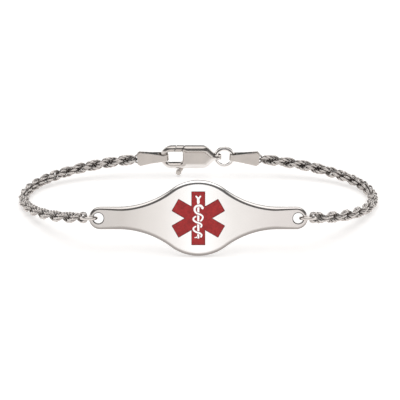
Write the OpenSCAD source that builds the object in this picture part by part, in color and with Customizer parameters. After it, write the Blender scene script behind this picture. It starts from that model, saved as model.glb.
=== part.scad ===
// Medical alert bracelet: an identification plate with a red enamel star, a rope chain on
// each side, flat end tabs, a split ring and a lobster clasp, closed and lying on a table.
// X runs along the plate, Y from the plate back to the clasp, Z up from the table.
// The origin is the middle of the loop, on the table.

/* [Loop] */
// Outer width of the closed loop, over the rope
loop_w = 73; // [66:0.5:84]
// Outer depth of the loop, from the plate's foot to the back of the rope
loop_d = 41; // [38:0.5:52]
// How far behind the middle the rope is widest
side_back = 5.5; // [0:0.5:8]

/* [Plate] */
// Length of the plate over its rounded ends
plate_l = 42; // [38:0.5:46]
// Height of the plate at its belly
plate_h = 14.6; // [13:0.1:16]
// Thickness of the plate
plate_t = 1.3; // [1:0.05:1.8]
// Height of the two arms
arm_h = 4.3; // [3.6:0.1:5]
// Radius of the belly's round edge
belly_r = 8.75; // [8:0.25:10]
// Radius of the hollow shoulders between belly and arms
shoulder_r = 17.25; // [14:0.25:19]
// Width of the rounded front edge
front_round = 0.75; // [0.3:0.05:0.9]
// Depth of the rounded front edge
front_drop = 0.5; // [0.2:0.05:0.7]
// Radius of the rounded back edge
back_round = 0.25; // [0.1:0.05:0.4]
// Angle at which the plate leans back
lean = 19; // [10:0.5:28]
// Diameter of the hole in each arm
hole_d = 2; // [1.8:0.05:2.4]
// Wall left between each hole and the plate's end
hole_wall = 0.8; // [0.6:0.05:1.2]
// Width of the bevel round each hole
hole_bevel = 0.18; // [0.05:0.01:0.3]

/* [Star] */
// Length of each of the star's three bars
star_l = 10.4; // [9:0.1:12]
// Width of each bar
star_w = 2.6; // [2.3:0.05:3]
// Radius of the bars' corners
star_round = 0.14; // [0.05:0.01:0.3]
// Thickness of the enamel
enamel_t = 0.35; // [0.2:0.01:0.5]
// Gap round the enamel
enamel_gap = 0.03; // [0.02:0.005:0.06]
// Height of the staff
staff_h = 8.1; // [6:0.1:8.6]
// Width of the staff
staff_w = 0.34; // [0.25:0.01:0.45]
// Width over the serpent's coils
coil_w = 2; // [1.6:0.05:2.1]
// Height from one coil to the next
coil_pitch = 1.91; // [1.6:0.01:2.1]
// Width of the serpent at its thickest
serpent_w = 0.5; // [0.4:0.01:0.6]
// Width of the serpent along its coils
serpent_thin = 0.32; // [0.25:0.01:0.4]

/* [Plate rings] */
// Wire of the ring in each end of the plate
ring_wire = 0.65; // [0.5:0.05:0.8]
// Outer diameter of that ring
ring_d = 3.5; // [3.4:0.05:4.2]
// Direction in which the rope leaves the ring, seen from above
leave_yaw = 47; // [35:1:60]
// Slope at which the rope comes down from the ring
leave_fall = 20; // [5:1:30]

/* [Rope] */
// Outer diameter of one link of the rope
link_d = 2.28; // [2.2:0.01:2.4]
// Wire of one link
link_wire = 0.28; // [0.24:0.01:0.3]
// Advance from one link to the next
link_pitch = 0.8; // [0.79:0.005:0.85]
// Length of half a turn of the rope's twist
half_turn = 3.1; // [2.8:0.05:3.4]
// Height of the rope's middle where it lies on the table
rope_z = 1.12; // [1.1:0.01:1.4]

/* [End tabs] */
// Length of a tab from its loop's middle to its wide end
tab_l = 5.4; // [4.8:0.1:6.5]
// Height of a tab at its wide end
tab_wide = 3; // [2.8:0.05:3.6]
// Height of a tab at its loop
tab_narrow = 1.4; // [1.2:0.05:1.6]
// Thickness of a tab
tab_t = 1.15; // [1.1:0.05:1.4]
// Wall of a tab's loop
loop_wall = 0.26; // [0.25:0.01:0.4]
// Thickness of the bar that holds the rope's last link
bar_d = 0.6; // [0.5:0.05:0.65]
// Angle at which the tabs slope down from the clasp
tab_fall = 5; // [0:0.5:8]

/* [Split ring] */
// Outer diameter of the split ring
split_d = 4.1; // [3.8:0.05:4.6]
// Wire of the split ring
split_wire = 0.48; // [0.4:0.01:0.55]

/* [Clasp] */
// Length of the clasp from the claw to the eye's middle
clasp_l = 11.7; // [11:0.1:13]
// Height of the clasp
clasp_h = 4.9; // [4.6:0.1:5.4]
// Thickness of the clasp
clasp_t = 1.4; // [1.4:0.05:1.6]
// Width of the soft slope round the clasp's faces
clasp_soft = 0.9; // [0.5:0.05:1.1]
// Depth of that slope
clasp_drop = 0.25; // [0.1:0.01:0.3]
// Width of the claw's two bars
claw_bar = 1.2; // [1.05:0.05:1.3]
// Width of the claw at its round end
claw_end = 1; // [0.9:0.05:1.1]
// Length of the opening behind the claw
claw_mouth = 3.65; // [3.5:0.05:4]
// Diameter of the clasp's eye
eye_d = 1.95; // [1.9:0.05:2.2]
// Diameter of the hole in the eye
eye_bore = 1.4; // [1.35:0.01:1.5]
// Height of the eye and its neck
eye_h = 1.05; // [0.9:0.05:1.3]
// Thickness of the lever inside the body
lever_t = 0.5; // [0.4:0.05:0.6]
// Diameter of the lever's pin
pin_d = 0.6; // [0.5:0.05:0.7]
// Gap round the lever and between the gate and the claw
lever_gap = 0.08; // [0.06:0.01:0.1]
// How far the thumb knob stands out below the body
knob_out = 1.4; // [1.2:0.05:1.6]
// Diameter of the thumb knob
knob_d = 0.9; // [0.8:0.05:1]
// Angle through which the lever opens
lever_open = 24; // [18:1:26]
// Clearance between pieces that hang in each other
slack = 0.12; // [0.1:0.01:0.16]

/* [Hidden] */
$fn = 48;
silver = [0.83, 0.83, 0.82];
enamel_red = [0.62, 0.09, 0.11];
cut = 0.5;         // how far a cut runs past the face that it opens
edge_steps = 4;    // flats round a rounded edge
arc_step = 4.5;    // degrees from one point of an arc to the next
course_steps = 10; // points along each bend of the serpent
course_n = 60;     // points along each of the rope's two curves

// Place of the plate: its foot is on the table at the front of the loop
plate_back = (plate_h / 2 - front_round) * sin(lean) + (plate_t / 2 - front_drop) * cos(lean)
    + norm([front_round * sin(lean), front_drop * cos(lean)]);
plate_y = -loop_d / 2 + plate_back;
plate_z = (plate_h / 2 - back_round) * cos(lean)
    + (plate_t / 2 - back_round) * sin(lean) + back_round;
arm_r = arm_h / 2;
arm_x = plate_l / 2 - arm_r;
hole_x = plate_l / 2 - hole_wall - hole_d / 2;
shoulder_x = sqrt((belly_r + shoulder_r) ^ 2
    - (arm_r + shoulder_r - plate_h / 2 + belly_r) ^ 2);
shoulder_a = asin(shoulder_x / (belly_r + shoulder_r));
plate_up = [0, sin(lean), cos(lean)];
plate_front = [0, -cos(lean), sin(lean)];

// The ring hangs in the hole as far out as the plate's thickness lets it
ring_r = (ring_d - ring_wire) / 2;
ring_in = ring_r - ring_wire / 2;
ring_sag = ring_in - sqrt(ring_in ^ 2 - (plate_t / 2) ^ 2);
ring_x = hole_x + hole_d / 2 - slack / 2 - ring_sag + ring_in;
leave = [cos(leave_fall) * cos(leave_yaw), cos(leave_fall) * sin(leave_yaw), -sin(leave_fall)];
ring_a = atan2(leave * plate_front, leave.x);
ring_mid = [ring_x, plate_y, plate_z];
ring_out = ring_mid + ring_r * (cos(ring_a) * [1, 0, 0] + sin(ring_a) * plate_front);

// Row of clasp, split ring and tabs along the back of the loop
back_y = loop_d / 2 - link_d / 2;
mouth_round = 0.7;  // radius of the mouth's corner beside the body
claw_turn = 1;      // radius of its corners in the claw
mouth_bevel = 0.3;  // bevel round the mouth at both faces
split_lap = 0.46;   // how far each turn of the split ring lies off its middle, in wires
claw_r = (clasp_h - claw_end) / 2;
mouth_r = clasp_h / 2 - claw_bar;
mouth_in = clasp_h / 2 - claw_end;
tab_tilt = tab_narrow * sin(tab_fall);
claw_sag = claw_r - sqrt(claw_r ^ 2 - (tab_narrow / 2) ^ 2);
claw_corner = norm([claw_end / 2 - mouth_bevel, clasp_t / 2]);
claw_bore = 2 * claw_corner + claw_sag + tab_tilt + slack;
split_r = (split_d - split_wire) / 2;
split_half = split_wire * (split_lap + 0.5);
split_sag = split_r - sqrt(split_r ^ 2 - (max(eye_h, tab_narrow) / 2) ^ 2);
split_bore = 2 * split_half + split_sag + tab_tilt / 2 + slack;
eye_out = clasp_l - clasp_h / 2;
row_l = clasp_l - claw_end / 2 - claw_sag / 2 + 2 * split_r - split_sag;
row_x = -row_l / 2;
row_end = row_l / 2;
claw_x = row_x - claw_end / 2 - claw_sag / 2;
split_x = claw_x + clasp_l + split_r - split_sag / 2;

// Clasp outline and lever, measured from the middle of the claw's round end
body_x = claw_mouth - mouth_in;
shoulder_fall = 45;  // slope of the shoulders down to the neck
neck_r = 0.8;        // hollow radius between shoulder and neck
flank_r = 1.9;       // radius from the flat flank to the shoulder
neck_tip = 0.1;      // how far the neck runs on past the middle of the eye
neck_round = 0.2;    // radius of its corners there
flank_x = eye_out - tan(shoulder_fall / 2) * (neck_r + flank_r)
    - (clasp_h - eye_h) / 2 / tan(shoulder_fall);
neck_soft = 0.4 * eye_h / clasp_soft;  // shares of the soft slope that the neck takes,
neck_flare = 1.2 * neck_soft;          // where it meets the shoulder,
flank_soft = 0.7;                      // and at the foot of the shoulder
knuckle_r = 1;       // round end of the body that the lever's pin goes through
knuckle_out = 0.1;   // how far the knuckle stands out past the mouth and the flank
pin_in = 0.15;       // how far the pin's ends lie below the faces
boss_d = pin_d + 0.4;
jaw_low = 0.33;      // where the claw's tip ends, at the mouth
jaw_top = 0.86;      // and on the outline
gate_end = 0.3;      // where the gate ends on the outline, before the pin
gate_heel = 0.2;     // how far the gate stands over the mouth's edge, beside the pin
gate_foot = 0.45;    // and at the mouth's corner
arm_w = 0.7;         // width of the arm that carries the gate
tail_w = 0.64;       // width of the tail that carries the knob
tail_gap = 0.1;      // room on each side of it
slot_fall = 0.9;     // how far below the pin the lever's slot starts to narrow
knob_back = 1.8;     // how far the knob lies towards the claw from the pin
knob_r = knob_d / 2;
pivot = [body_x + knuckle_r - knuckle_out, clasp_h / 2 - knuckle_r + knuckle_out];
knob = [pivot.x - knob_back, -clasp_h / 2 - knob_out + knob_r];
arm_course = [pivot, pivot + [-1.4, 0.15]];
tail_course = [pivot, pivot - [0.05, 1.3], pivot - [0.3, 2.4], pivot - [0.85, 3.6], knob];
clasp_z = norm(knob - pivot) + knob_r - pivot.y + slack;
tab_dir = [cos(tab_fall), 0, -sin(tab_fall)];

// Tabs
bar_in = 0.8;             // from the bar's middle to the wide end
bar_short = 0.1;          // how much shorter the bar is than the tab is thick
loop_flare = 0.95;        // share of the loop's radius at which the tab's faces start
tab_flat = 0.5;           // share of the tab's length that is of even thickness
tab_corner = [0.5, 0.4];  // cut-off corners of the wide end

// Course of the rope from the plate's ring to the tab's bar, as two cubic curves that meet
// where the rope is widest; the pulls are the curves' handles, in shares of the loop
plate_pull = 0.19;
side_pull = 0.24;
tab_pull = 0.15;
look = 0.25;  // how far before and after a point its direction is taken
tab_end = [row_end, back_y, clasp_z] + tab_dir * (tab_l - bar_in);
rope_side = [loop_w / 2 - link_d / 2, side_back, rope_z];
front_curve = [
    ring_out,
    ring_out + leave * loop_d * plate_pull,
    rope_side - [0, loop_d * plate_pull, 0],
    rope_side];
back_curve = [
    rope_side,
    rope_side + [0, loop_d * side_pull, 0],
    tab_end + tab_dir * loop_w * tab_pull,
    tab_end];

function bezier(p, t) = (1 - t) ^ 3 * p[0] + 3 * (1 - t) ^ 2 * t * p[1]
    + 3 * (1 - t) * t ^ 2 * p[2] + t ^ 3 * p[3];
function curve(p, n) = [for (i = [0:n]) bezier(p, i / n)];

// Points of an arc with their outward normals, [x, y, nx, ny]; a hollow arc has side -1
function arc(c, r, a0, a1, side = 1) = let (n = max(2, ceil(abs(a1 - a0) / arc_step)))
    [for (i = [0:n]) let (a = a0 + (a1 - a0) * i / n)
        [c.x + r * cos(a), c.y + r * sin(a), side * cos(a), side * sin(a)]];
function backwards(l) = [for (i = [len(l) - 1:-1:0]) l[i]];
// Closes a half outline, which runs from +X over the top to -X, with its mirror image below
function closed(h) = concat(h,
    [for (i = [len(h) - 2:-1:1]) [h[i].x, -h[i].y, h[i][2], -h[i][3]]]);

// Profile of a slab with round edges, as [inset, height] from the back face to the front; each
// edge is given as [width, depth]
function slab(t, back, front) = concat(
    [for (i = [0:edge_steps]) let (a = 90 * i / edge_steps)
        [back[0] * (1 - sin(a)), -t / 2 + back[1] * (1 - cos(a))]],
    [for (i = [0:edge_steps]) let (a = 90 * i / edge_steps)
        [front[0] * (1 - cos(a)), t / 2 - front[1] * (1 - sin(a))]]);

// Makes the edge's width change along an arc, from one share to another
function eased(l, k0, k1) = [for (i = [0:len(l) - 1])
    let (p = l[i], k = k0 + (k1 - k0) * i / (len(l) - 1)) [p.x, p.y, p[2] * k, p[3] * k]];

// Solid of a closed outline that is its own mirror image in Y, through the profile's steps
module skin(outline, profile) {
    n = len(outline);
    m = len(profile);
    points = [for (s = profile) for (p = outline) [p.x - p[2] * s.x, p.y - p[3] * s.x, s.y]];
    walls = [for (j = [0:m - 2]) for (i = [0:n - 1]) let (a = j * n, k = (i + 1) % n)
        each [[a + i, a + n + i, a + n + k], [a + i, a + n + k, a + k]]];
    caps = [for (i = [0:n / 2 - 1]) let (k = i + 1, b = (n - i) % n, d = n - k, t = (m - 1) * n)
        each concat(i == 0 ? [] : [[i, k, b], [t + i, t + b, t + k]],
            k == n / 2 ? [] : [[k, d, b], [t + k, t + b, t + d]])];
    polyhedron(points = points, faces = concat(walls, caps));
}

// One side of a ribbon along a course; its widths are spread evenly from start to end
function flank(course, widths, side) = let (n = len(course) - 1, m = len(widths) - 1)
    [for (i = [0:n])
        let (d = course[min(n, i + 1)] - course[max(0, i - 1)],
            w = m == 0 ? widths[0] : lookup(i / n * m, [for (k = [0:m]) [k, widths[k]]]))
        course[i] + side * w / 2 * [-d.y, d.x] / norm(d)];
// Round end of a ribbon at c, whose direction out is d
function ribbon_end(c, d, w) = [for (a = [67.5:-22.5:-67.5])
    c + w / 2 * turn(d / norm(d), a)];
module ribbon(course, widths) {
    n = len(course) - 1;
    polygon(concat(
        flank(course, widths, 1),
        ribbon_end(course[n], course[n] - course[n - 1], widths[len(widths) - 1]),
        backwards(flank(course, widths, -1)),
        ribbon_end(course[0], course[0] - course[1], widths[0])));
}

// Outline of the plate; the belly's arc leaves out its end points, which the shoulders have
function plate_outline() = closed(concat(
    arc([arm_x, 0], arm_r, 0, 90),
    arc([shoulder_x, arm_r + shoulder_r], shoulder_r, -90, -90 - shoulder_a, -1),
    let (belly = arc([0, plate_h / 2 - belly_r], belly_r, 90 - shoulder_a, 90 + shoulder_a))
        [for (i = [1:len(belly) - 2]) belly[i]],
    arc([-shoulder_x, arm_r + shoulder_r], shoulder_r, -90 + shoulder_a, -90, -1),
    arc([-arm_x, 0], arm_r, 90, 180)));

function turn(p, a) = [p.x * cos(a) - p.y * sin(a), p.x * sin(a) + p.y * cos(a)];
// Star of three crossed bars with rounded corners; grow moves its edge out
function star(grow) = let (l = star_l / 2 + grow, w = star_w / 2 + grow, r = star_round)
    [for (i = [0:5]) let (a = 60 * i + 90)
        each concat(
            [for (c = [-75:30:-15]) turn([l - r + r * cos(c), -w + r + r * sin(c)], a)],
            [for (c = [15:30:75]) turn([l - r + r * cos(c), w - r + r * sin(c)], a)],
            [turn([2 * w, 0], a + 30)])];

// Courses of the serpent, in shares of half the coils' width and of the coils' pitch
head_course = [[0.8, 0.6], [0.55, 0.85], [0.3, 0.86], [0.05, 0.84]];
neck_course = [[0.05, 0.84], [-0.95, 0.8], [-0.95, 0.16], [0, 0]];
breast_course = [[0, 0], [0.75, -0.08], [1.25, -0.34], [0.48, -0.7]];
coil_left = [[-0.42, 0.61], [-1.25, 0.39], [-0.75, 0.1], [0, 0]];
coil_right = [[0, 0], [0.5, -0.07], [0.95, -0.18], [0.62, -0.44]];
tail_tip = [[-0.34, 0], [-0.46, -0.015], [-0.58, -0.027], [-0.7, -0.04]];
cross_1 = 0.44;  // where the serpent first crosses the staff, above the star's middle
cross_2 = -0.44; // where it crosses again, and one pitch below that,
coil_off = -0.1; // to one side of the staff by this
tail_at = -1.92; // where its tail comes out
coil_break = 0.065;  // gap in the staff on each side of the serpent
tail_end = 0.3;      // share of the serpent's width at the end of its tail

nape = 0.85;         // share of the serpent's width behind its head
far_side = 0.8;      // share of its thin width where it goes behind the staff

// Part of the serpent that shows, through one or more bends that follow each other
module serpent_part(bends, widths, grow) {
    course = [for (i = [0:len(bends) - 1])
        let (c = curve([for (p = bends[i]) [p.x * coil_w / 2, p.y * coil_pitch]], course_steps))
            each i == 0 ? c : [for (k = [1:course_steps]) c[k]]];
    ribbon(course, [for (w = widths) w + 2 * grow]);
}
module serpent(grow) {
    behind = serpent_thin * far_side;
    translate([0, cross_1 * coil_pitch])
        serpent_part([head_course, neck_course, breast_course],
            [serpent_w, serpent_w * nape, serpent_thin, behind], grow);
    for (i = [0:1])
        translate([coil_off, (cross_2 - i) * coil_pitch])
            serpent_part([coil_left, coil_right], [behind, serpent_thin, behind], grow);
    translate([0, tail_at * coil_pitch])
        serpent_part([tail_tip], [behind, serpent_thin * tail_end], grow);
}
// Staff with a forked top
staff_top = 0.16;     // how far its middle lies above the star's
fork = 0.5;           // height and half width of the fork
fork_root = 0.1;      // how far the fork's arms start below it
stem = [1.35, 1.2];   // width of the stem under the fork, in widths of the staff
fork_thin = 0.85;     // width of the fork's ends, in the same
module staff(grow) {
    top = staff_h / 2 + staff_top;
    w = staff_w + 2 * grow;
    translate([-w / 2, top - staff_h - grow]) square([w, staff_h - fork]);
    ribbon([[0, top - 3 * fork], [0, top - fork]], stem * w);
    for (s = [-1, 1])
        ribbon([[0, top - fork - fork_root], [s * fork, top]], [w, fork_thin * w]);
}
// Staff and serpent; the staff is broken where the serpent passes in front of it
module emblem(grow) {
    difference() {
        staff(grow);
        serpent(coil_break - grow);
    }
    serpent(grow);
}

module at_plate() translate([0, plate_y, plate_z]) rotate([90 - lean, 0, 0]) children();

module id_plate() {
    color(silver) at_plate() difference() {
        skin(plate_outline(), slab(plate_t, [back_round, back_round], [front_round, front_drop]));
        for (s = [-1, 1]) translate([s * hole_x, 0, 0]) {
            translate([0, 0, -plate_t]) cylinder(d = hole_d, h = 2 * plate_t);
            for (f = [0, 180]) rotate([f, 0, 0]) translate([0, 0, plate_t / 2 - hole_bevel])
                cylinder(d1 = hole_d, d2 = hole_d + 2 * (hole_bevel + cut), h = hole_bevel + cut);
        }
        translate([0, 0, plate_t / 2 - enamel_t]) linear_extrude(enamel_t + cut) difference() {
            polygon(star(0));
            emblem(0);
        }
    }
}

module star_enamel() {
    color(enamel_red) at_plate()
        translate([0, 0, plate_t / 2 - enamel_t + enamel_gap])
            linear_extrude(enamel_t - 2 * enamel_gap) difference() {
                polygon(star(-enamel_gap));
                emblem(enamel_gap);
            }
}

module wire_ring(r, wire) rotate_extrude() translate([r, 0]) circle(d = wire);

module plate_ring(side) {
    color(silver) translate([side * ring_mid.x, ring_mid.y, ring_mid.z])
        rotate([-lean, 0, 0]) wire_ring(ring_r, ring_wire);
}
module plate_ring_left() plate_ring(-1);
module plate_ring_right() plate_ring(1);

// Rope: the course as a chain of points, and its length up to each of them
course = concat(curve(front_curve, course_n),
    [for (i = [1:course_n]) bezier(back_curve, i / course_n)]);
function lengths(c, i = 0, s = 0) = i >= len(c) - 1 ? [s]
    : concat([s], lengths(c, i + 1, s + norm(c[i + 1] - c[i])));
course_s = lengths(course);
course_table = [for (i = [0:len(course) - 1]) let (p = course[i]) [course_s[i], p.x, p.y, p.z]];
course_l = course_s[len(course_s) - 1];
function along(s) = [for (k = [1:3]) lookup(s, [for (c = course_table) [c[0], c[k]]])];
function unit(v) = v / norm(v);
function heading(s) = unit(along(min(course_l, s + look)) - along(max(0, s - look)));

link_r = (link_d - link_wire) / 2;
end_step = 2 * link_pitch;
plate_seat = link_r - link_wire / 2 - slack - ring_wire / 2;
tab_seat = link_r - link_wire / 2 - slack - bar_d / 2;
rope_l = course_l - plate_seat - tab_seat - 2 * end_step;
steps = round(rope_l / link_pitch);
function link_s(k) = k == 0 ? plate_seat
    : k == steps + 2 ? course_l - tab_seat
    : plate_seat + end_step + (k - 1) * rope_l / steps;

// The first link stands across the plate's ring and the last one upright in the tab
start_side = cross(heading(0), [0, 0, 1]);
start_up = cross(start_side, heading(0));
start_turn = atan2(plate_up * unit(start_side), plate_up * unit(start_up));
// The rope's twist has the same hand on both sides, so the mirrored side turns the other way
function link_turn(hand) = let (nominal = steps * 180 * link_pitch / half_turn)
    (180 * round((nominal + hand * start_turn) / 180) - hand * start_turn) / steps;
function turn_at(k, hand) = k == 0 ? start_turn
    : k == steps + 2 ? 0
    : start_turn + hand * (90 + (k - 1) * link_turn(hand));

module rope_link(k, hand) {
    h = heading(link_s(k));
    translate(along(link_s(k)))
        rotate([0, -asin(h.z), atan2(h.y, h.x)])
            rotate([turn_at(k, hand) + 90, 0, 0])
                wire_ring(link_r, link_wire);
}
module rope_chain(hand) color(silver) for (k = [0:steps + 2]) rope_link(k, hand);
module rope_chain_right() rope_chain(-1);
module rope_chain_left() mirror([1, 0, 0]) rope_chain(1);

// Flat tab: a loop at one end and a forked wide end with a bar for the rope's last link
module end_tab(bore) {
    outer = bore / 2 + loop_wall;
    slot = link_wire + 2 * slack;
    slot_l = bar_in + bar_d / 2 + slack + link_wire + slack;
    difference() {
        intersection() {
            translate([0, 0, -tab_wide]) linear_extrude(2 * tab_wide) {
                circle(r = outer);
                polygon([[0, -outer * loop_flare], [tab_l * tab_flat, -tab_t / 2],
                    [tab_l, -tab_t / 2], [tab_l, tab_t / 2], [tab_l * tab_flat, tab_t / 2],
                    [0, outer * loop_flare]]);
            }
            translate([0, 2 * outer, 0]) rotate([90, 0, 0]) linear_extrude(4 * outer)
                polygon([[-outer - cut, -tab_narrow / 2], [0, -tab_narrow / 2],
                    [tab_l - tab_corner.x, -tab_wide / 2], [tab_l, -tab_wide / 2 + tab_corner.y],
                    [tab_l, tab_wide / 2 - tab_corner.y], [tab_l - tab_corner.x, tab_wide / 2],
                    [0, tab_narrow / 2], [-outer - cut, tab_narrow / 2]]);
        }
        translate([0, 0, -tab_wide]) cylinder(d = bore, h = 2 * tab_wide);
        translate([tab_l - slot_l, -slot / 2, -tab_wide]) cube([slot_l + cut, slot, 2 * tab_wide]);
    }
    translate([tab_l - bar_in, 0, 0]) rotate([90, 0, 0])
        cylinder(d = bar_d, h = tab_t - bar_short, center = true);
}
module at_tab(side) mirror([side < 0 ? 1 : 0, 0, 0])
    translate([row_end, back_y, clasp_z]) rotate([0, tab_fall, 0]) children();
module end_tab_left() color(silver) at_tab(-1) end_tab(claw_bore);
module end_tab_right() color(silver) at_tab(1) end_tab(split_bore);

// Two turns of wire side by side
module split_ring() {
    color(silver) translate([split_x, back_y, clasp_z]) rotate([90, 0, 0]) rotate_extrude() {
        for (s = [-1, 1]) translate([split_r, s * split_wire * split_lap]) circle(d = split_wire);
    }
}

module at_clasp() translate([claw_x + clasp_h / 2, back_y, clasp_z]) rotate([90, 0, 0]) children();

// Outer form of the clasp: a round claw end, long flat flanks and shoulders down to the neck
function clasp_outline() = closed(concat(
    [[eye_out + neck_tip, 0, neck_soft, 0]],
    eased(arc([eye_out + neck_tip - neck_round, eye_h / 2 - neck_round], neck_round, 10, 90),
        neck_soft, neck_soft),
    eased(arc([eye_out, eye_h / 2 + neck_r], neck_r, -90 - arc_step, -90 - shoulder_fall, -1),
        neck_soft, neck_flare),
    eased(arc([flank_x, clasp_h / 2 - flank_r], flank_r, 90 - shoulder_fall, 90), flank_soft, 1),
    arc([0, 0], clasp_h / 2, 90, 180)));
module clasp_form() {
    edge = [clasp_soft, clasp_drop];
    skin(clasp_outline(), slab(clasp_t, edge, edge));
}

// Opening behind the claw, bevelled at both faces
module mouth() {
    outline = closed(concat(
        [[body_x, 0, 1, 0]],
        arc([body_x - mouth_round, mouth_r - mouth_round], mouth_round, 0, 90),
        arc([claw_turn - mouth_in, mouth_r - claw_turn], claw_turn, 90, 180),
        [[-mouth_in, 0, -1, 0]]));
    half = clasp_t / 2;
    skin(outline, [[-mouth_bevel - cut, -half - cut], [0, -half + mouth_bevel],
        [0, half - mouth_bevel], [-mouth_bevel - cut, half + cut]]);
}

// Gap that the gate closes, between the jaw's tip and the knuckle round the pin
module gap_area() {
    low = mouth_r - mouth_round;
    top = clasp_h / 2 + cut;
    difference() {
        polygon([jaw_at(low), jaw_at(top), [pivot.x - gate_end, top],
            [pivot.x - gate_end, pivot.y], [body_x, pivot.y], [body_x, low]]);
        translate(pivot) circle(r = knuckle_r);
    }
}
module gate_area() {
    top = clasp_h / 2 + cut;
    side = [lever_gap, 0];
    difference() {
        polygon([jaw_at(mouth_r) + side, jaw_at(top) + side, [pivot.x - gate_end, top] - side,
            [pivot.x - gate_end, pivot.y] - side, [body_x - gate_heel, pivot.y],
            [body_x - gate_foot, mouth_r]]);
        translate(pivot) circle(r = knuckle_r + lever_gap);
    }
}
function jaw_at(y) = [jaw_low + (jaw_top - jaw_low) * (y - mouth_r) / claw_bar, y];

// Room that the lever's arm and tail sweep inside the body
module slot_area() {
    roof = pivot.y + boss_d / 2 + slack;
    left = pivot.x - knuckle_r - slack;
    wide = tail_w + 2 * tail_gap;
    opened = [for (p = tail_course) pivot + turn(p - pivot, lever_open)];
    polygon(concat(
        [[left, roof], [left, pivot.y - slot_fall]],
        flank([for (i = [1:4]) tail_course[i]], [wide], -1),
        backwards(flank([for (i = [1:4]) opened[i]], [wide], 1)),
        [[pivot.x + boss_d / 2 + slack, roof]]));
}
module through(h) translate([0, 0, -h / 2]) linear_extrude(h) children();

module clasp_body() {
    color(silver) at_clasp() {
        difference() {
            union() {
                clasp_form();
                translate([eye_out, 0, 0]) rotate([90, 0, 0])
                    cylinder(d = eye_d, h = eye_h, center = true);
            }
            translate([eye_out, 0, 0]) rotate([90, 0, 0])
                cylinder(d = eye_bore, h = clasp_h, center = true);
            mouth();
            through(2 * clasp_t) gap_area();
            through(lever_t + 2 * lever_gap) slot_area();
        }
        translate(pivot) cylinder(d = pin_d, h = clasp_t - 2 * pin_in, center = true);
    }
}

module clasp_lever() {
    color(silver) at_clasp() difference() {
        union() {
            intersection() {
                clasp_form();
                through(2 * clasp_t) gate_area();
            }
            through(lever_t) {
                translate(pivot) circle(d = boss_d);
                ribbon(arm_course, [arm_w]);
                ribbon(tail_course, [tail_w]);
            }
            translate(knob) cylinder(d = knob_d, h = 2 * lever_t, center = true);
        }
        translate(pivot) cylinder(d = pin_d + lever_gap, h = clasp_t, center = true);
    }
}

id_plate();
star_enamel();
plate_ring_left();
plate_ring_right();
rope_chain_left();
rope_chain_right();
end_tab_left();
end_tab_right();
split_ring();
clasp_body();
clasp_lever();
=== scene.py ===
import math

import bpy
import numpy as np
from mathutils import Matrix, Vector
from mathutils.geometry import delaunay_2d_cdt


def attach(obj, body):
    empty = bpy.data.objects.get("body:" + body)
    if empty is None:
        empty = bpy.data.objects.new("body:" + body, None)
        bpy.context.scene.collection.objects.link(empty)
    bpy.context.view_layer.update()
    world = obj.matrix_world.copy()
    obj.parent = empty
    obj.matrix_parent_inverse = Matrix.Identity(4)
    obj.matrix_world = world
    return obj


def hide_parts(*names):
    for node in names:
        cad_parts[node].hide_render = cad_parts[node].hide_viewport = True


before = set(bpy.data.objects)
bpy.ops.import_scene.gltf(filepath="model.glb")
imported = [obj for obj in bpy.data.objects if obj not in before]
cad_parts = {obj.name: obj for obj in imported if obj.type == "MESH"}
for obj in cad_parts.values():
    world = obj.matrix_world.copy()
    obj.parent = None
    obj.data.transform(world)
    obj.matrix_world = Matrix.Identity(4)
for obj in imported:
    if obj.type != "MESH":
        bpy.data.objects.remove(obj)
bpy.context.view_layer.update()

mm = 0.001  # the pieces are worked out in millimetres and made in metres


# ways of making meshes

class Skin:  # gathers points, faces and the normal at every corner of a face
    def __init__(self):
        self.points = []
        self.known = {}
        self.faces = []
        self.normals = []

    def row(self, points):  # points that agree to 0.0001 mm become one
        found = []
        for p in points:
            key = tuple(np.float32(p).round(4).tolist())
            if key not in self.known:
                self.known[key] = len(self.points)
                self.points.append([float(c) for c in p])
            found.append(self.known[key])
        return found

    def face(self, corners, normals):
        if len(set(corners)) == len(corners):
            self.faces.append(tuple(corners))
            self.normals.extend(normals)

    def band(self, low, lowNormals, high, highNormals):  # faces between two closed rows
        for i in range(len(low)):
            k = (i + 1) % len(low)
            self.face((low[i], low[k], high[k], high[i]),
                      (lowNormals[i], lowNormals[k], highNormals[k], highNormals[i]))

    def wall(self, a, b, first, last):  # an upright face below an edge, from one height to another
        n = Vector((a[1] - b[1], b[0] - a[0], 0)).normalized() * (1 if first < last else -1)
        self.face(self.row([(*a, last), (*b, last), (*b, first), (*a, first)]), [tuple(n)] * 4)

    def make(self, name, place, turn):
        mesh = bpy.data.meshes.new(name)
        mesh.from_pydata([tuple(place(p)) for p in self.points], [], self.faces)
        mesh.shade_smooth()
        mesh.normals_split_custom_set([tuple(turn(n)) for n in self.normals])
        return newPiece(name, mesh)


def newPiece(name, mesh):
    piece = bpy.data.objects.new(name, mesh)
    bpy.context.scene.collection.objects.link(piece)
    return piece


def mark(piece, name, values):  # a value at each point, for the finish to read
    values = np.clip(values, 0, 1)
    piece.data.attributes.new(name, "FLOAT", "POINT").data.foreach_set("value", values)


def arc(cx, cy, r, a0, a1, hollow=False, step=2.0):  # points with outward normals
    count = max(2, math.ceil(abs(a1 - a0) / step))
    a = np.radians(np.linspace(a0, a1, count + 1))
    side = -1 if hollow else 1
    return np.stack([cx + r * np.cos(a), cy + r * np.sin(a), side * np.cos(a), side * np.sin(a)], 1)


def closed(half):  # a half outline over the top, and its mirror image below
    below = half[-2:0:-1] * [1, -1, 1, -1]
    return np.vstack([half, below])


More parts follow.
